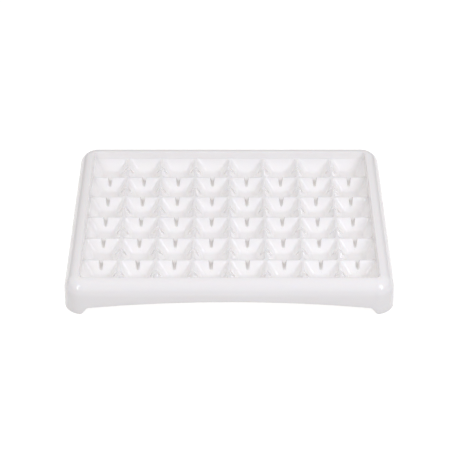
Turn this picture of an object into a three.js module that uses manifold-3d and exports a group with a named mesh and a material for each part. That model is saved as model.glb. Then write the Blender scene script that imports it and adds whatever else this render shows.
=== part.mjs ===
// Plug tray: tapered cells in a grid, inside a rolled rim with an arched skirt on four corner feet.
// The real tray is one plastic moulding. It is modelled region by region: each cell cup, each
// straight length of the rim and each corner is a solid of its own, a hair apart from its neighbours.
// Millimetres, +Z up. The origin is on the ground under the tray's middle and +X runs along its length.

import * as THREE from 'three';
import { mergeVertices } from 'three/addons/utils/BufferGeometryUtils.js';
import Module from 'manifold-3d';

const wasm = await Module();
wasm.setup();

// Grid
const columns = 8;
const rows = 6;
const pitch = 30; // from one divider to the next
const gap = 0.3; // left between neighbouring solids

// Cells
const ridgeHeight = 22.2; // the dividers' tops above the ground
const ridgeWidth = 1.5; // a divider's flat top, both cups and the gap between them
const cellDepth = 10.5;
const wallSlope = 0.675; // how far a cell wall leans in for each millimetre down
const cellWall = 1.2; // measured level, through a leaning wall
const cellCorner = 2.8; // cut off each inside corner
const cupCorner = 1.2; // cut off each outside corner, so that the dividers' crossings stay closed

// Level notches, one in the middle of each divider between two cells
const notchTop = 3.8;
const notchBottom = 1.4;
const notchDepth = 6.6;

// Rim, measured outwards from the edge of the cell block
const crestHeight = 28.65;
const rimLean = 1; // how far the inner wall leans out on its way up
const crestChamfer = 0.4;
const crestWidth = 1.2; // flat land along the crest
const rimReach = 13; // out to the widest line
const widestHeight = 17.25; // the widest line above the ground
const skirtFlare = 0.03; // outward lean of the skirt for each millimetre down
const rimWall = 2;
const cornerInset = 2.5; // from the cell block's edge in to the corner arcs' centre
const rollSteps = 5;
const cornerSteps = 6; // facets round one corner

// Arches under the skirt
const archMiddle = 12.4; // lower edge of the skirt in the middle of a side
const archEnd = 6.5; // the same beside a foot
const footHeel = 4.5; // how far before its corner arc a foot starts to come down from the arch
const footToe = 3; // how far into the corner arc it reaches the ground
const curveSteps = 8; // facets along each curve of an arch

// Derived
const blockX = (columns * pitch) / 2;
const blockY = (rows * pitch) / 2;
const overcut = 1; // how far a cutter runs past what it cuts
const cornerX = blockX - cornerInset;
const cornerY = blockY - cornerInset;

function plastic() {
  return new THREE.MeshStandardMaterial({ color: 0xeeebe8, roughness: 0.22, metalness: 0 });
}

function solidOf(geometry) {
  const bare = geometry.index ? geometry.toNonIndexed() : geometry.clone();
  bare.deleteAttribute('normal');
  bare.deleteAttribute('uv');
  const merged = mergeVertices(bare, 1e-4);
  return new wasm.Manifold(
    new wasm.Mesh({
      numProp: 3,
      vertProperties: new Float32Array(merged.attributes.position.array),
      triVerts: new Uint32Array(merged.index.array),
    }),
  );
}

function geometryOf(solid) {
  const mesh = solid.getMesh();
  const geometry = new THREE.BufferGeometry();
  geometry.setAttribute('position', new THREE.BufferAttribute(mesh.vertProperties, 3));
  geometry.setIndex(new THREE.BufferAttribute(mesh.triVerts, 1));
  geometry.computeVertexNormals();
  return geometry;
}

function box(low, high) {
  const size = new THREE.Vector3().subVectors(high, low);
  const geometry = new THREE.BoxGeometry(size.x, size.y, size.z);
  geometry.translate((low.x + high.x) / 2, (low.y + high.y) / 2, (low.z + high.z) / 2);
  return solidOf(geometry);
}

// A rectangle with its corners cut off at 45 degrees.
function cutRectangle(area, corner) {
  const shape = new THREE.Shape();
  shape.moveTo(area.left + corner, area.front);
  shape.lineTo(area.right - corner, area.front);
  shape.lineTo(area.right, area.front + corner);
  shape.lineTo(area.right, area.back - corner);
  shape.lineTo(area.right - corner, area.back);
  shape.lineTo(area.left + corner, area.back);
  shape.lineTo(area.left, area.back - corner);
  shape.lineTo(area.left, area.front + corner);
  shape.closePath();
  return shape;
}

function widened(area, by) {
  return {
    left: area.left - by,
    right: area.right + by,
    front: area.front - by,
    back: area.back + by,
  };
}

// A block whose four sides lean in on the way down from its top outline.
function taperedBlock(area, corner, top, depth) {
  const geometry = new THREE.ExtrudeGeometry(cutRectangle(area, corner), {
    depth,
    bevelEnabled: false,
  });
  const middleX = (area.left + area.right) / 2;
  const middleY = (area.front + area.back) / 2;
  const inset = depth * wallSlope;
  const position = geometry.attributes.position;
  for (let i = 0; i < position.count; i += 1) {
    if (position.getZ(i) < depth / 2) {
      position.setX(i, position.getX(i) - Math.sign(position.getX(i) - middleX) * inset);
      position.setY(i, position.getY(i) - Math.sign(position.getY(i) - middleY) * inset);
    }
  }
  geometry.translate(0, 0, top - depth);
  return solidOf(geometry);
}

// A wedge along the direction given by its angle, from the cell's middle out through one wall.
function notchWedge(middle, angle, margin, top) {
  const halfTop = notchTop / 2 + margin;
  const halfBottom = notchBottom / 2 + margin;
  const bottom = ridgeHeight - notchDepth - margin;
  const shape = new THREE.Shape();
  shape.moveTo(-halfTop, top);
  shape.lineTo(-halfTop, ridgeHeight);
  shape.lineTo(-halfBottom, bottom);
  shape.lineTo(halfBottom, bottom);
  shape.lineTo(halfTop, ridgeHeight);
  shape.lineTo(halfTop, top);
  shape.closePath();
  const geometry = new THREE.ExtrudeGeometry(shape, { depth: pitch, bevelEnabled: false });
  geometry.applyMatrix4(
    new THREE.Matrix4().makeBasis(
      new THREE.Vector3(0, 1, 0),
      new THREE.Vector3(0, 0, 1),
      new THREE.Vector3(1, 0, 0),
    ),
  );
  geometry.rotateZ(angle);
  geometry.translate(middle.x, middle.y, 0);
  return solidOf(geometry);
}

// One cell cup: four leaning walls, a closed floor, and half of each notch it shares.
function cellCup(column, row) {
  const left = -blockX + column * pitch;
  const front = -blockY + row * pitch;
  const middle = new THREE.Vector2(left + pitch / 2, front + pitch / 2);
  const atLeft = column === 0;
  const atRight = column === columns - 1;
  const atFront = row === 0;
  const atBack = row === rows - 1;
  const half = ridgeWidth / 2;
  const opening = {
    left: left + (atLeft ? 0 : half),
    right: left + pitch - (atRight ? 0 : half),
    front: front + (atFront ? 0 : half),
    back: front + pitch - (atBack ? 0 : half),
  };
  const neighbours = [
    { angle: 0, shared: !atRight },
    { angle: Math.PI / 2, shared: !atBack },
    { angle: Math.PI, shared: !atLeft },
    { angle: -Math.PI / 2, shared: !atFront },
  ];
  const shared = neighbours.filter((side) => side.shared);
  const room = box(
    new THREE.Vector3(
      left + (atLeft ? -pitch : gap / 2),
      front + (atFront ? -pitch : gap / 2),
      0,
    ),
    new THREE.Vector3(
      left + pitch + (atRight ? pitch : -gap / 2),
      front + pitch + (atBack ? pitch : -gap / 2),
      ridgeHeight,
    ),
  );
  let cup = taperedBlock(
    widened(opening, cellWall),
    cupCorner,
    ridgeHeight,
    cellDepth + cellWall,
  );
  for (const side of shared) {
    cup = cup.add(notchWedge(middle, side.angle, cellWall, ridgeHeight));
  }
  cup = cup.intersect(room);
  const raised = overcut * wallSlope;
  cup = cup.subtract(
    taperedBlock(widened(opening, raised), cellCorner, ridgeHeight + overcut, cellDepth + overcut),
  );
  for (const side of shared) {
    cup = cup.subtract(notchWedge(middle, side.angle, 0, ridgeHeight + overcut));
  }
  return geometryOf(cup);
}

// The rim's section: x is the distance out from the cell block's edge, y the height.
function rimSection() {
  const crestEnd = rimLean + crestChamfer + crestWidth;
  const rollWidth = rimReach - crestEnd;
  const rollDrop = crestHeight - widestHeight;
  const skirtEnd = rimReach + skirtFlare * widestHeight;
  const points = [
    new THREE.Vector2(0, ridgeHeight + gap),
    new THREE.Vector2(rimLean, crestHeight - crestChamfer),
    new THREE.Vector2(rimLean + crestChamfer, crestHeight),
  ];
  const roll = (step, inwards) => {
    const turn = ((step / rollSteps) * Math.PI) / 2;
    return new THREE.Vector2(
      crestEnd + (rollWidth - inwards) * Math.sin(turn),
      widestHeight + (rollDrop - inwards) * Math.cos(turn),
    );
  };
  for (let step = 0; step <= rollSteps; step += 1) {
    points.push(roll(step, 0));
  }
  points.push(new THREE.Vector2(skirtEnd, 0));
  points.push(new THREE.Vector2(skirtEnd - rimWall, 0));
  for (let step = rollSteps; step >= 0; step -= 1) {
    points.push(roll(step, rimWall));
  }
  points.push(new THREE.Vector2(rimWall, ridgeHeight + gap));
  return points;
}

// The opening under a skirt between two feet, as an outline of length and height.
function archOutline(halfLength) {
  const heel = halfLength - footHeel;
  const toe = halfLength + footToe;
  const third = (toe - heel) / 3;
  const shape = new THREE.Shape();
  shape.moveTo(-toe, -overcut);
  shape.lineTo(toe, -overcut);
  shape.lineTo(toe, 0);
  shape.bezierCurveTo(toe - third, 0, heel + third, archEnd, heel, archEnd);
  shape.quadraticCurveTo(0, 2 * archMiddle - archEnd, -heel, archEnd);
  shape.bezierCurveTo(-heel - third, archEnd, third - toe, 0, -toe, 0);
  shape.closePath();
  return shape;
}

// What an arch takes away from the skirt on the +Y side, from the given distance outwards.
function archCutter(halfLength, edge) {
  const depth = 2 * rimReach;
  const geometry = new THREE.ExtrudeGeometry(archOutline(halfLength), {
    depth,
    curveSegments: curveSteps,
    bevelEnabled: false,
  });
  geometry.rotateX(Math.PI / 2);
  geometry.translate(0, edge + depth, 0);
  return geometry;
}

// A straight length of rim and skirt on the +Y side, with its arch cut away.
function rimSide(halfLength, edge) {
  const length = 2 * (halfLength - gap);
  const geometry = new THREE.ExtrudeGeometry(new THREE.Shape(rimSection()), {
    depth: length,
    bevelEnabled: false,
  });
  geometry.applyMatrix4(
    new THREE.Matrix4().makeBasis(
      new THREE.Vector3(0, 1, 0),
      new THREE.Vector3(0, 0, 1),
      new THREE.Vector3(1, 0, 0),
    ),
  );
  geometry.translate(-length / 2, edge, 0);
  return geometryOf(solidOf(geometry).subtract(solidOf(archCutter(halfLength, edge))));
}

// A quarter turn of the rim's section with its foot, about the origin and towards +X and +Y.
// The arches of the two sides that meet here end in it.
function rimCorner() {
  const profile = rimSection().map((point) => new THREE.Vector2(point.x + cornerInset, point.y));
  profile.push(profile[0].clone());
  const ring = new THREE.LatheGeometry(profile.reverse(), 4 * cornerSteps);
  ring.rotateX(Math.PI / 2);
  const reach = cornerInset + 2 * rimReach;
  const quadrant = box(
    new THREE.Vector3(0, 0, -overcut),
    new THREE.Vector3(reach, reach, crestHeight + overcut),
  );
  const backArch = archCutter(cornerX, 0);
  backArch.translate(-cornerX, 0, 0);
  const rightArch = archCutter(cornerY, 0);
  rightArch.rotateZ(-Math.PI / 2);
  rightArch.translate(0, -cornerY, 0);
  const corner = solidOf(ring).intersect(quadrant);
  return geometryOf(corner.subtract(solidOf(backArch)).subtract(solidOf(rightArch)));
}

const tray = new THREE.Group();

function addPart(name, geometry, turn = 0, x = 0, y = 0) {
  const mesh = new THREE.Mesh(geometry, plastic());
  mesh.name = name;
  mesh.position.set(x, y, 0);
  mesh.rotation.z = turn;
  tray.add(mesh);
}

for (let row = 0; row < rows; row += 1) {
  for (let column = 0; column < columns; column += 1) {
    addPart(`cell_row${row + 1}_col${column + 1}`, cellCup(column, row));
  }
}

addPart('rim_back', rimSide(cornerX, blockY));
addPart('rim_front', rimSide(cornerX, blockY), Math.PI);
addPart('rim_left', rimSide(cornerY, blockX), Math.PI / 2);
addPart('rim_right', rimSide(cornerY, blockX), -Math.PI / 2);

addPart('corner_back_right', rimCorner(), 0, cornerX, cornerY);
addPart('corner_back_left', rimCorner(), Math.PI / 2, -cornerX, cornerY);
addPart('corner_front_left', rimCorner(), Math.PI, -cornerX, -cornerY);
addPart('corner_front_right', rimCorner(), -Math.PI / 2, cornerX, -cornerY);

export default tray;
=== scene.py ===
"""A glossy white plug tray: 48 tapered cells with notched dividers, inside a rolled rim on four feet.

Every CAD node is replaced by a smooth piece of the same moulding. The pieces meet face to face with
nothing between them, so that they read as one moulding. Sizes are in metres, in the frame of the CAD.
"""

import math

import bpy
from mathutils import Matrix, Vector


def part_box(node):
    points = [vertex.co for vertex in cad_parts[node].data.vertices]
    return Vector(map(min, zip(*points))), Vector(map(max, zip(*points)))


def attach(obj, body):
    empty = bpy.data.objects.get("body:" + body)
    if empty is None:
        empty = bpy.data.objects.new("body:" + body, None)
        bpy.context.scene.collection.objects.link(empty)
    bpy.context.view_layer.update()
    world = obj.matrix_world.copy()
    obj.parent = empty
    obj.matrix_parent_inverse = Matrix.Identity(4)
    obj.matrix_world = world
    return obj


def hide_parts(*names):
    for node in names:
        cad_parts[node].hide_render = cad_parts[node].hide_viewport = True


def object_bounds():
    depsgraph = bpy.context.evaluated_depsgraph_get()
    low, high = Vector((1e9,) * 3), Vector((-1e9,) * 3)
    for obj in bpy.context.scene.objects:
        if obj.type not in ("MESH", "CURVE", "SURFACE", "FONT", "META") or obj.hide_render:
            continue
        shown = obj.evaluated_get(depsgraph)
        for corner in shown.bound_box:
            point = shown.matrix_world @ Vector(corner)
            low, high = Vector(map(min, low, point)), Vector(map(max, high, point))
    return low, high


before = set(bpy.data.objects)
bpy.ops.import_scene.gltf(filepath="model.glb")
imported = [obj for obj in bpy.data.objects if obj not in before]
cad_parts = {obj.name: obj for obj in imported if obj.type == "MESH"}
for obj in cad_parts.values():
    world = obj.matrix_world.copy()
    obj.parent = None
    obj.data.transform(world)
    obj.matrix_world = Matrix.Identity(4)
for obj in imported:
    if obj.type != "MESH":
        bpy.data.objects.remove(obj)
CAD_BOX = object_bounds()

MM = 0.001

# Grid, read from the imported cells
ROWS = 6
COLUMNS = 8
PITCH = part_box("cell_row2_col3")[0].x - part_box("cell_row2_col2")[0].x
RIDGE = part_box("cell_row2_col2")[1].z
CREST = CAD_BOX[1].z
BLOCK_X = COLUMNS * PITCH / 2
BLOCK_Y = ROWS * PITCH / 2

# Cells
RIDGE_HALF = 0.75 * MM
DEPTH = 10.5 * MM
SLOPE = 0.675
LEAN = math.atan2(1, SLOPE)
WALL = 1.2 * MM
CELL_CORNER = 2.7 * MM
BLOCK_CORNER = 2.5 * MM
FLOOR_CORNER = 4.0 * MM
LIP = 0.32 * MM
FLOOR_FILLET = 1.6 * MM
LIP_AT_RIM = 0.12 * MM  # between the points that stand for the lip where a cell meets the rim
UNDER_RIDGE = 1.25 * MM
UNDER_FILLET = 1.5 * MM
UNDER_TOP = UNDER_RIDGE + 0.25 * MM  # where the underside of a wall starts to turn level
UNDER_TUCK = 0.2 * MM
LIP_STEPS = 3
WALL_STEPS = 4
FILLET_STEPS = 5
UNDER_STEPS = 3
ARC_STEPS = 4
RIM_SIDE_STEPS = 8
PLAIN_STEPS = 2
NEARLY = 1e-9

# Level notches
NOTCH_HALF = 1.8 * MM
NOTCH_DEPTH = 6.6 * MM
NOTCH_EDGE = 0.55 * MM
NOTCH_BEVEL = 0.29 * NOTCH_EDGE  # the middle of the rounded edge, from its two tangent lines
NOTCH_BLUNT = 0.6  # below 1 widens the bottom of the notch
NOTCH_WALL = 1.1 * MM
NOTCH_STEPS = 12

# Rim
RIM_LEAN = 1.0 * MM
REACH = CAD_BOX[1].x - BLOCK_X
WIDEST = 17.25 * MM
FLARE = 0.03
RIM_WALL = 2.0 * MM
CREST_ROUND = 0.7 * MM
CREST_FLAT = 0.25 * MM
HEM = 0.55 * MM
INNER_WALL_RISES = (0.3 * MM, 2.2 * MM, 4.1 * MM)
SKIRT_SHARES = (0.33, 0.66, 1.0)
CORNER_X = BLOCK_X - BLOCK_CORNER
CORNER_Y = BLOCK_Y - BLOCK_CORNER
CREST_STEPS = 5
ROLL_STEPS = 14
INNER_ROLL_STEPS = 8
TURN_STEPS = 36
ARCH_STEPS = 28
FOOT_STEPS = 7

# Skirt's lower edge
ARCH_MIDDLE = 12.4 * MM
ARCH_END = 6.5 * MM
FOOT_START = -4.5 * MM
FOOT_END = 3.0 * MM

# Plastic
WHITE_LOW = (0.974, 0.956, 0.93, 1)
WHITE_HIGH = (0.984, 0.967, 0.943, 1)
ROUGHNESS_LOW = 0.07
ROUGHNESS_HIGH = 0.11
TINT_SCALE = 14
POLISH_SCALE = 55
FLOW_SCALE = 90
GRAIN_SCALE = 2200

# Light
PANEL_DISTANCE = 1.5
PANEL_ELEVATION = 38
PANEL_HEIGHT = 0.75
PANEL_COLOUR = (0.84, 0.872, 1.0)
STUDIO_COLOUR = (1.0, 0.97, 0.97)
STUDIO_FLOOR = 0.56
STUDIO_HORIZON = 0.1
STUDIO_CEILING = 0.63

# Camera
CAMERA_ELEVATION = 36.2
CAMERA_DISTANCE = 44.17 * PITCH
CAMERA_TARGET = (0.019 * PITCH, -0.608 * PITCH, RIDGE)
CAMERA_LENS = 123.4
CAMERA_SENSOR = 36


def lerp(a, b, t):
    return a + (b - a) * t


def smoothstep(t):
    t = min(1.0, max(0.0, t))
    return t * t * (3 - 2 * t)


# ---------------------------------------------------------------- materials


def tray_plastic():
    """Glossy white moulded plastic: faintly warm, slightly translucent, with a soft moulded surface."""
    material = bpy.data.materials.new("tray_plastic")
    material.use_nodes = True
    nodes = material.node_tree.nodes
    links = material.node_tree.links
    shader = nodes["Principled BSDF"]
    place = nodes.new("ShaderNodeTexCoord")

    def noise(scale, detail):
        node = nodes.new("ShaderNodeTexNoise")
        node.inputs["Scale"].default_value = scale
        node.inputs["Detail"].default_value = detail
        links.new(place.outputs["Object"], node.inputs["Vector"])
        return node.outputs["Fac"]

    def ranged(value, low, high):
        node = nodes.new("ShaderNodeMapRange")
        node.inputs["From Min"].default_value = 0.3  # a noise seldom leaves 0.3 to 0.7
        node.inputs["From Max"].default_value = 0.7
        node.inputs["To Min"].default_value = low
        node.inputs["To Max"].default_value = high
        links.new(value, node.inputs["Value"])
        return node.outputs["Result"]

    tint = nodes.new("ShaderNodeMix")
    tint.data_type = "RGBA"
    tint.inputs["A"].default_value = WHITE_LOW
    tint.inputs["B"].default_value = WHITE_HIGH
    links.new(ranged(noise(TINT_SCALE, 3), 0, 1), tint.inputs["Factor"])
    links.new(tint.outputs["Result"], shader.inputs["Base Color"])
    polish = ranged(noise(POLISH_SCALE, 4), ROUGHNESS_LOW, ROUGHNESS_HIGH)
    links.new(polish, shader.inputs["Roughness"])

    flow = nodes.new("ShaderNodeBump")
    flow.inputs["Strength"].default_value = 0.12
    flow.inputs["Distance"].default_value = 0.4 * MM
    links.new(noise(FLOW_SCALE, 2), flow.inputs["Height"])
    grain = nodes.new("ShaderNodeBump")
    grain.inputs["Strength"].default_value = 0.05
    grain.inputs["Distance"].default_value = 0.05 * MM
    links.new(noise(GRAIN_SCALE, 2), grain.inputs["Height"])
    links.new(flow.outputs["Normal"], grain.inputs["Normal"])
    links.new(grain.outputs["Normal"], shader.inputs["Normal"])

    shader.inputs["IOR"].default_value = 1.49
    shader.inputs["Subsurface Weight"].default_value = 0.1
    shader.inputs["Subsurface Radius"].default_value = (1.0, 0.7, 0.5)
    shader.inputs["Subsurface Scale"].default_value = 1.5 * MM
    return material


def floor_material():
    """Pale matt studio floor that glows a little, so that it reads as white."""
    material = bpy.data.materials.new("floor")
    material.use_nodes = True
    shader = material.node_tree.nodes["Principled BSDF"]
    shader.inputs["Base Color"].default_value = (0.42, 0.42, 0.4, 1)
    shader.inputs["Roughness"].default_value = 0.9
    shader.inputs["Specular IOR Level"].default_value = 0.0
    shader.inputs["Emission Color"].default_value = (1, 1, 1, 1)
    shader.inputs["Emission Strength"].default_value = 0.78
    return material


# ---------------------------------------------------------------- pieces


def add_piece(name, points, faces, material, sharp_angle=35):
    """A piece of the moulding that stands for the CAD node of the same name."""
    mesh = bpy.data.meshes.new(name)
    mesh.from_pydata([tuple(p) for p in points], [], faces)
    mesh.validate()
    mesh.shade_smooth()
    mesh.set_sharp_from_angle(angle=math.radians(sharp_angle))
    mesh.materials.append(material)
    piece = bpy.data.objects.new("visual_" + name, mesh)
    bpy.context.scene.collection.objects.link(piece)
    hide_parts(name)
    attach(piece, "root")
    return piece


# ---------------------------------------------------------------- cells


class Column:
    """One line of points over and under a cell's wall, between the floor and the divider's middle."""

    def __init__(self, out, rim, strip):
        self.out = out  # unit vector away from the cell's middle
        self.rim = rim  # whether the cell meets the rim here, and not a divider
        self.strip = strip  # level width between the opening's edge and the cell's border
        self.dip = 0.0  # how deep a notch is here
        self.share = 0.0  # on a straight side, how far along it the column starts, from 0 to 1
        self.spread = 0.0  # on a straight side, how far it moves along the side on the underside
        self.corner = None  # on a corner, the signs of the corner's x and y
        self.both = False  # on a corner, whether both of its sides meet the rim
        self.turn = 0.0  # on a corner, the angle from its x side
        self.middle = 0.0  # on a corner, the turn that points at the crossing of the dividers


def notch_outline():
    """Points across a notch: distance from its middle, depth, and both on the underside."""
    half = []
    for step in range(NOTCH_STEPS // 2):
        turn = math.pi / 2 * step / (NOTCH_STEPS / 2 - 0.5)
        along = math.sin(turn) ** NOTCH_BLUNT
        half.append((NOTCH_HALF * along, NOTCH_DEPTH * math.cos(turn)))
    half.append((NOTCH_HALF, NOTCH_EDGE))
    half.append((NOTCH_HALF + NOTCH_BEVEL, NOTCH_BEVEL))
    half.append((NOTCH_HALF + NOTCH_EDGE, 0.0))
    grow = NOTCH_WALL / NOTCH_HALF
    full = [(along, dip, along * grow) for along, dip in half]
    return [(-a, d, -g) for a, d, g in reversed(full[1:])] + full


def side_columns(cell, axis, sign):
    """The columns along one straight side of a cell, counter-clockwise seen from above."""
    out = Vector((sign, 0, 0)) if axis == 0 else Vector((0, sign, 0))
    across = 1 - axis
    low = cell["low"][across] + cell["corner"](axis, sign, -1)
    high = cell["high"][across] - cell["corner"](axis, sign, 1)
    at_rim = cell["rim"](axis, sign)
    if at_rim:
        shares = [i / RIM_SIDE_STEPS for i in range(RIM_SIDE_STEPS + 1)]
        places = [(lerp(low, high, share), 0.0, 0.0) for share in shares]
    else:
        middle = cell["middle"][across]
        places = [(middle + a, d, g) for a, d, g in notch_outline()]
        first, last = places[0][0], places[-1][0]
        shares = [i / PLAIN_STEPS for i in range(PLAIN_STEPS + 1)]
        before = [(lerp(low, first, share), 0.0, 0.0) for share in shares[:-1]]
        after = [(lerp(last, high, share), 0.0, 0.0) for share in shares[1:]]
        places = before + places + after
    columns = []
    for at, dip, spread in places:
        column = Column(out, at_rim, 0.0 if at_rim else RIDGE_HALF)
        column.share = (at - low) / (high - low)
        column.spread = spread
        column.dip = dip
        columns.append(column)
    forward = (axis == 0 and sign > 0) or (axis == 1 and sign < 0)
    return columns if forward else columns[::-1]


def corner_columns(cell, sx, sy):
    """The columns round one inside corner of a cell, counter-clockwise, without the sides' own ends."""
    radius = cell["corner"](0, sx, sy)
    border_x = radius + (0.0 if cell["rim"](0, sx) else RIDGE_HALF)
    border_y = radius + (0.0 if cell["rim"](1, sy) else RIDGE_HALF)
    both = cell["rim"](0, sx) and cell["rim"](1, sy)
    middle = math.atan2(border_y, border_x)
    if both:
        turns = [math.pi / 2 * i / TURN_STEPS for i in range(1, TURN_STEPS)]
    else:
        turns = [middle * i / ARC_STEPS for i in range(1, ARC_STEPS)]
        turns += [lerp(middle, math.pi / 2, i / ARC_STEPS) for i in range(ARC_STEPS)]
    columns = []
    for turn in turns:
        out = Vector((math.cos(turn) * sx, math.sin(turn) * sy, 0))
        if both:
            reach, at_rim = radius, True
        else:
            reach = min(border_x / math.cos(turn), border_y / math.sin(turn))
            on_x = turn <= middle + NEARLY
            on_y = turn >= middle - NEARLY
            at_rim = (on_x and cell["rim"](0, sx)) or (on_y and cell["rim"](1, sy))
        column = Column(out, at_rim, reach - radius)
        column.corner = (sx, sy)
        column.both = both
        column.turn = turn
        column.middle = middle
        columns.append(column)
    return columns if sx * sy > 0 else columns[::-1]


def cell_shape(row, column):
    """Where a cell's opening lies, and which of its sides meet the rim."""
    x = -BLOCK_X + column * PITCH
    y = -BLOCK_Y + row * PITCH
    rims = {
        (0, -1): column == 0,
        (0, 1): column == COLUMNS - 1,
        (1, -1): row == 0,
        (1, 1): row == ROWS - 1,
    }

    def rim(axis, sign):
        return rims[(axis, sign)]

    def corner(axis, sign, other):
        sx, sy = (sign, other) if axis == 0 else (other, sign)
        return BLOCK_CORNER if rim(0, sx) and rim(1, sy) else CELL_CORNER

    def edge(axis, sign):
        return 0.0 if rim(axis, sign) else RIDGE_HALF

    return {
        "rim": rim,
        "corner": corner,
        "low": (x + edge(0, -1), y + edge(1, -1)),
        "high": (x + PITCH - edge(0, 1), y + PITCH - edge(1, 1)),
        "middle": (x + PITCH / 2, y + PITCH / 2),
    }


def column_point(cell, column, inset, radius, height, moved=0.0):
    """A point of a column, where the cell's outline is drawn in by inset with that corner radius.

    moved is how much further out a notch's column lies than the outline."""
    low, high = cell["low"], cell["high"]
    if column.corner is None:
        axis = 0 if abs(column.out.x) > 0.5 else 1
        across = 1 - axis
        sign = column.out[axis]
        edge = (high[axis] if sign > 0 else low[axis]) - sign * (inset + moved)
        corners = [cell["corner"](axis, sign, other) for other in (-1, 1)]
        start = low[across] + inset + radius + (corners[0] - CELL_CORNER)
        end = high[across] - inset - radius - (corners[1] - CELL_CORNER)
        along = lerp(start, end, column.share)
        return (edge, along, height) if axis == 0 else (along, edge, height)
    sx, sy = column.corner
    turned = radius + cell["corner"](0, sx, sy) - CELL_CORNER
    x = (high[0] if sx > 0 else low[0]) - sx * (inset + turned) + column.out.x * turned
    y = (high[1] if sy > 0 else low[1]) - sy * (inset + turned) + column.out.y * turned
    return (x, y, height)


def border_point(cell, column, height, beyond=0.0):
    """Where a column meets the cell's border: a divider's middle line or the rim's foot."""
    if column.corner is None:
        point = Vector(column_point(cell, column, 0.0, CELL_CORNER, height))
        return tuple(point + column.out * (column.strip + beyond))
    sx, sy = column.corner
    radius = cell["corner"](0, sx, sy)
    reach = radius + column.strip
    x = (cell["high"][0] if sx > 0 else cell["low"][0]) - sx * radius + column.out.x * reach
    y = (cell["high"][1] if sy > 0 else cell["low"][1]) - sy * radius + column.out.y * reach
    if beyond and column.both:
        x += column.out.x * beyond
        y += column.out.y * beyond
    elif beyond:
        x += sx * beyond * (cell["rim"](0, sx) and column.turn <= column.middle + NEARLY)
        y += sy * beyond * (cell["rim"](1, sy) and column.turn >= column.middle - NEARLY)
    return (x, y, height)


def upper_line(cell, column):
    """The points of a column on the upper surface, from the border down to the floor."""
    line = [border_point(cell, column, RIDGE - column.dip)]
    tangent = min(LIP, column.strip)
    near_rim = max(0.0, 1.0 - column.strip / LIP)
    round_off = tangent / math.tan(LEAN / 2)
    for step in range(LIP_STEPS + 1):
        turn = LEAN * step / LIP_STEPS
        inset = round_off * math.sin(turn) - tangent
        drop = round_off * (1 - math.cos(turn))
        plain = LIP_AT_RIM * (step + 1)
        drop = lerp(drop, plain, near_rim)
        inset = lerp(inset, plain * SLOPE, near_rim)
        line.append(
            column_point(
                cell,
                column,
                inset,
                CELL_CORNER - inset,
                RIDGE - drop - column.dip,
                moved=SLOPE * column.dip,
            )
        )
    lip_end = drop
    fillet_start = DEPTH - FLOOR_FILLET * math.sin(LEAN)
    for step in range(1, WALL_STEPS + 1):
        t = step / WALL_STEPS
        plain = lerp(lip_end, fillet_start, t)
        drop = lerp(lip_end + column.dip, fillet_start, t)
        radius = lerp(CELL_CORNER, FLOOR_CORNER, plain / DEPTH)
        inset = plain * SLOPE
        moved = (drop - plain) * SLOPE
        line.append(column_point(cell, column, inset, radius, RIDGE - drop, moved=moved))
    round_off = FLOOR_FILLET / math.tan(LEAN / 2)
    for step in range(1, FILLET_STEPS + 1):
        turn = LEAN * (1 - step / FILLET_STEPS)
        inset = DEPTH * SLOPE + FLOOR_FILLET - round_off * math.sin(turn)
        drop = DEPTH - round_off * (1 - math.cos(turn))
        line.append(column_point(cell, column, inset, FLOOR_CORNER, RIDGE - drop))
    return line


def lower_line(cell, column):
    """The points of a column on the underside, from the floor out and up to the border."""
    floor = DEPTH + WALL
    line = []
    tangent = UNDER_FILLET * math.tan(LEAN / 2)
    under_radius = FLOOR_CORNER + WALL
    for step in range(UNDER_STEPS + 1):
        turn = LEAN * step / UNDER_STEPS
        inset = floor * SLOPE - WALL + tangent - UNDER_FILLET * math.sin(turn)
        drop = floor - UNDER_FILLET * (1 - math.cos(turn))
        line.append(column_point(cell, column, inset, under_radius, RIDGE - drop))
    fillet_end = floor - UNDER_FILLET * (1 - math.cos(LEAN))
    spread = column.spread
    for step in range(1, UNDER_STEPS + 1):
        t = step / UNDER_STEPS
        plain = lerp(fillet_end, UNDER_TOP, t)
        drop = lerp(fillet_end, UNDER_TOP + column.dip, t)
        radius = lerp(CELL_CORNER, FLOOR_CORNER, plain / DEPTH) + WALL
        inset = plain * SLOPE - WALL
        moved = (drop - plain) * SLOPE
        point = column_point(cell, column, inset, radius, RIDGE - drop, moved=moved)
        line.append(shifted(point, column, spread * t))
    inset = UNDER_RIDGE * SLOPE - WALL - UNDER_TUCK
    moved = SLOPE * column.dip
    height = RIDGE - UNDER_RIDGE - column.dip
    point = column_point(cell, column, inset, CELL_CORNER - inset, height, moved=moved)
    line.append(shifted(point, column, spread))
    if column.rim:
        line.append(border_point(cell, column, RIDGE - UNDER_RIDGE, beyond=WALL))
        line.append(border_point(cell, column, RIDGE, beyond=WALL))
    else:
        line.append(shifted(border_point(cell, column, height), column, spread))
        middle = RIDGE - UNDER_RIDGE / 2 - column.dip
        line.append(shifted(border_point(cell, column, middle), column, spread / 2))
    return line


def shifted(point, column, spread):
    """The point moved along its straight side."""
    if not spread:
        return point
    x, y, z = point
    return (x, y + spread, z) if abs(column.out.x) > 0.5 else (x + spread, y, z)


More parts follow.
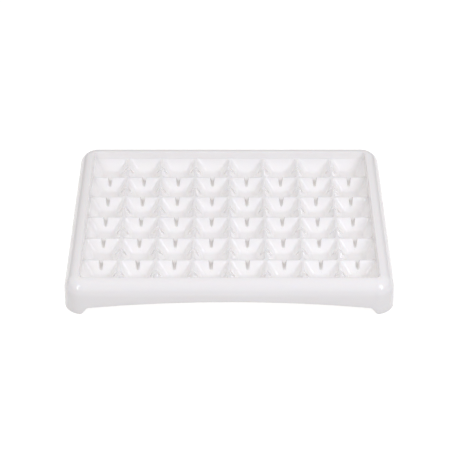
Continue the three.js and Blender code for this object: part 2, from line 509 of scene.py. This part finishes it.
def build_cell(row, column, material):
    """One cell cup as a closed mesh: each column's line runs from the floor out under the wall, up and
    over the divider's top and back down inside, and a fan of triangles closes the floor on both sides."""
    cell = cell_shape(row, column)
    columns = side_columns(cell, 0, 1)
    columns += corner_columns(cell, 1, 1)
    columns += side_columns(cell, 1, 1)
    columns += corner_columns(cell, -1, 1)
    columns += side_columns(cell, 0, -1)
    columns += corner_columns(cell, -1, -1)
    columns += side_columns(cell, 1, -1)
    columns += corner_columns(cell, 1, -1)
    lines = [lower_line(cell, one) + upper_line(cell, one) for one in columns]
    points = [point for line in lines for point in line]
    count = len(lines[0])
    faces = []
    middle_x, middle_y = cell["middle"]
    under_middle = len(points)
    upper_middle = under_middle + 1
    points.append((middle_x, middle_y, RIDGE - DEPTH - WALL))
    points.append((middle_x, middle_y, RIDGE - DEPTH))
    for c in range(len(lines)):
        this, after = c * count, (c + 1) % len(lines) * count
        for r in range(count - 1):
            faces.append((this + r, after + r, after + r + 1, this + r + 1))
        faces.append((under_middle, after, this))
        faces.append((this + count - 1, after + count - 1, upper_middle))
    return add_piece(f"cell_row{row + 1}_col{column + 1}", points, faces, material)


# ---------------------------------------------------------------- rim


def rim_section(bottom):
    """The rim's section: distance out from the cell block's edge, and height. bottom is the hem's height."""
    rise = CREST - RIDGE
    lean = math.atan2(RIM_LEAN, rise)
    centre_z = CREST - CREST_ROUND
    centre_u = RIM_LEAN * (centre_z - RIDGE) / rise + CREST_ROUND / math.cos(lean)
    roll_start = centre_u + CREST_FLAT
    section = [(0.0, RIDGE)]
    for height in INNER_WALL_RISES:
        section.append((RIM_LEAN * height / rise, RIDGE + height))
    for step in range(CREST_STEPS + 1):
        turn = lerp(math.pi - lean, math.pi / 2, step / CREST_STEPS)
        section.append(
            (centre_u + CREST_ROUND * math.cos(turn), centre_z + CREST_ROUND * math.sin(turn))
        )

    def roll(turn, inwards):
        return (
            roll_start + (REACH - FLARE * WIDEST - roll_start - inwards) * math.sin(turn),
            WIDEST + (CREST - WIDEST - inwards) * math.cos(turn),
        )

    for step in range(ROLL_STEPS + 1):
        section.append(roll(math.pi / 2 * step / ROLL_STEPS, 0.0))

    def skirt(height, inwards):
        return (REACH - FLARE * height - inwards, height)

    for t in SKIRT_SHARES:
        section.append(skirt(lerp(WIDEST, bottom + HEM, t), 0.0))
    for turn in (math.pi / 6, math.pi / 3, math.pi / 2):
        height = bottom + HEM * (1 - math.sin(turn))
        section.append(skirt(height, HEM * (1 - math.cos(turn))))
    for turn in (math.pi / 2, math.pi / 3, math.pi / 6, 0.0):
        height = bottom + HEM * (1 - math.sin(turn))
        section.append(skirt(height, RIM_WALL - HEM * (1 - math.cos(turn))))
    section.append(skirt(lerp(bottom + HEM, WIDEST, 0.5), RIM_WALL))
    for step in range(INNER_ROLL_STEPS, -1, -1):
        section.append(roll(math.pi / 2 * step / INNER_ROLL_STEPS, RIM_WALL))
    section.append((RIM_WALL, RIDGE))
    return section


def foot_height(past):
    """Height of the skirt's lower edge at a foot. past is the distance beyond the start of the corner."""
    return ARCH_END * (1 - smoothstep((past - FOOT_START) / (FOOT_END - FOOT_START)))


def hem_height(distance, half_span):
    """Height of a side's lower edge, at that distance from the side's middle."""
    past = distance - half_span
    if past <= FOOT_START:
        return lerp(ARCH_MIDDLE, ARCH_END, (distance / (half_span + FOOT_START)) ** 2)
    return foot_height(past)


def sweep_faces(sections, count):
    """Faces of a closed sweep: bands between its sections, each a ring of count points, and both ends."""
    faces = []
    for i in range(sections - 1):
        for j in range(count):
            k = (j + 1) % count
            faces.append((i * count + j, (i + 1) * count + j, (i + 1) * count + k, i * count + k))
    last = (sections - 1) * count
    faces.append(tuple(range(count)))
    faces.append(tuple(range(last + count - 1, last - 1, -1)))
    return faces


def build_rim_side(name, turn, half_span, edge, material):
    """A straight length of rim and skirt, drawn on the +Y side and turned about +Z."""
    span = half_span + FOOT_START
    right = [span * i / ARCH_STEPS for i in range(1, ARCH_STEPS + 1)]
    right += [lerp(span, half_span, i / FOOT_STEPS) for i in range(1, FOOT_STEPS + 1)]
    places = [-x for x in reversed(right)] + [0.0] + right
    around = [Vector((math.cos(turn), math.sin(turn))), Vector((-math.sin(turn), math.cos(turn)))]
    points = []
    for place in places:
        for out, height in rim_section(hem_height(abs(place), half_span)):
            flat = around[0] * place + around[1] * (edge + out)
            points.append((flat.x, flat.y, height))
    count = len(rim_section(0.0))
    return add_piece(name, points, sweep_faces(len(places), count), material)


def build_rim_corner(name, sx, sy, material):
    """A quarter turn of the rim with its foot."""
    start = {(1, 1): 0.0, (-1, 1): 0.5, (-1, -1): 1.0, (1, -1): 1.5}[(sx, sy)] * math.pi
    points = []
    arc = REACH + BLOCK_CORNER
    for step in range(TURN_STEPS + 1):
        turn = math.pi / 2 * step / TURN_STEPS
        past = arc * math.sin(min(turn, math.pi / 2 - turn))
        for out, height in rim_section(foot_height(past)):
            reach = BLOCK_CORNER + out
            x = sx * CORNER_X + reach * math.cos(start + turn)
            y = sy * CORNER_Y + reach * math.sin(start + turn)
            points.append((x, y, height))
    count = len(rim_section(0.0))
    faces = [face[::-1] for face in sweep_faces(TURN_STEPS + 1, count)]
    return add_piece(name, points, faces, material)


# ---------------------------------------------------------------- stage


def add_floor():
    """The studio floor. The world's light from below the horizon stands for the glow that it throws on the
    tray, so the floor itself neither adds to that light nor stops it."""
    bpy.ops.mesh.primitive_plane_add(size=6, location=(0, 0, 0))
    floor = bpy.context.object
    floor.name = "floor"
    floor.data.materials.append(floor_material())
    floor.visible_diffuse = False
    floor.visible_shadow = False


def aim(thing, target):
    """Turn a light or camera, which looks along its own -Z, towards a point."""
    thing.rotation_euler = (Vector(target) - thing.location).to_track_quat("-Z", "Y").to_euler()


def add_panel(name, azimuth, width, brightness):
    """A soft light above the tray. azimuth is degrees round from the camera's side towards +X."""
    data = bpy.data.lights.new(name, "AREA")
    data.shape = "RECTANGLE"
    data.size = width
    data.size_y = PANEL_HEIGHT
    data.energy = brightness * math.pi * width * PANEL_HEIGHT
    data.color = PANEL_COLOUR
    light = bpy.data.objects.new(name, data)
    round_by, up_by = math.radians(azimuth), math.radians(PANEL_ELEVATION)
    level = PANEL_DISTANCE * math.cos(up_by)
    rise = PANEL_DISTANCE * math.sin(up_by)
    light.location = (level * math.sin(round_by), -level * math.cos(round_by), rise)
    bpy.context.scene.collection.objects.link(light)
    aim(light, (0, 0, RIDGE))


def add_world(bands):
    """Soft studio light all round. bands gives its brightness at rising values of a direction's Z."""
    world = bpy.data.worlds.new("studio")
    world.use_nodes = True
    nodes = world.node_tree.nodes
    links = world.node_tree.links
    place = nodes.new("ShaderNodeTexCoord")
    parts = nodes.new("ShaderNodeSeparateXYZ")
    links.new(place.outputs["Generated"], parts.inputs["Vector"])
    ramp = nodes.new("ShaderNodeValToRGB")
    links.new(parts.outputs["Z"], ramp.inputs["Fac"])
    stops = ramp.color_ramp.elements
    brightest = max(brightness for _, brightness in bands)
    while len(stops) < len(bands):
        stops.new(0.5)
    for stop, (rise, brightness) in zip(stops, bands):
        stop.position = rise
        stop.color = tuple(part * brightness / brightest for part in STUDIO_COLOUR) + (1,)
    links.new(ramp.outputs["Color"], nodes["Background"].inputs["Color"])
    nodes["Background"].inputs["Strength"].default_value = brightest
    bpy.context.scene.world = world


def add_camera():
    """The camera looks along +Y and down, a little in front of the tray's middle."""
    elevation = math.radians(CAMERA_ELEVATION)
    target = Vector(CAMERA_TARGET)
    camera = bpy.data.objects.new("camera", bpy.data.cameras.new("camera"))
    back = Vector((0, -math.cos(elevation), math.sin(elevation)))
    camera.location = target + back * CAMERA_DISTANCE
    camera.data.lens = CAMERA_LENS
    camera.data.sensor_width = CAMERA_SENSOR
    bpy.context.scene.collection.objects.link(camera)
    aim(camera, target)
    bpy.context.scene.camera = camera


# ---------------------------------------------------------------- the scene

plastic = tray_plastic()
for row_index in range(ROWS):
    for column_index in range(COLUMNS):
        build_cell(row_index, column_index, plastic)
build_rim_side("rim_back", 0.0, CORNER_X, BLOCK_Y, plastic)
build_rim_side("rim_left", math.pi / 2, CORNER_Y, BLOCK_X, plastic)
build_rim_side("rim_front", math.pi, CORNER_X, BLOCK_Y, plastic)
build_rim_side("rim_right", -math.pi / 2, CORNER_Y, BLOCK_X, plastic)
build_rim_corner("corner_back_right", 1, 1, plastic)
build_rim_corner("corner_back_left", -1, 1, plastic)
build_rim_corner("corner_front_left", -1, -1, plastic)
build_rim_corner("corner_front_right", 1, -1, plastic)

add_floor()
studio_bands = [
    (0.0, STUDIO_FLOOR),
    (0.02, STUDIO_HORIZON),
    (0.2, STUDIO_HORIZON),
    (0.3, STUDIO_CEILING),
    (1.0, STUDIO_CEILING),
]
add_world(studio_bands)
add_panel("right_panel", 46, 0.38, 7.2)
add_panel("left_panel", -41, 0.24, 7.2)
add_camera()
bpy.context.scene.view_settings.view_transform = "Standard"
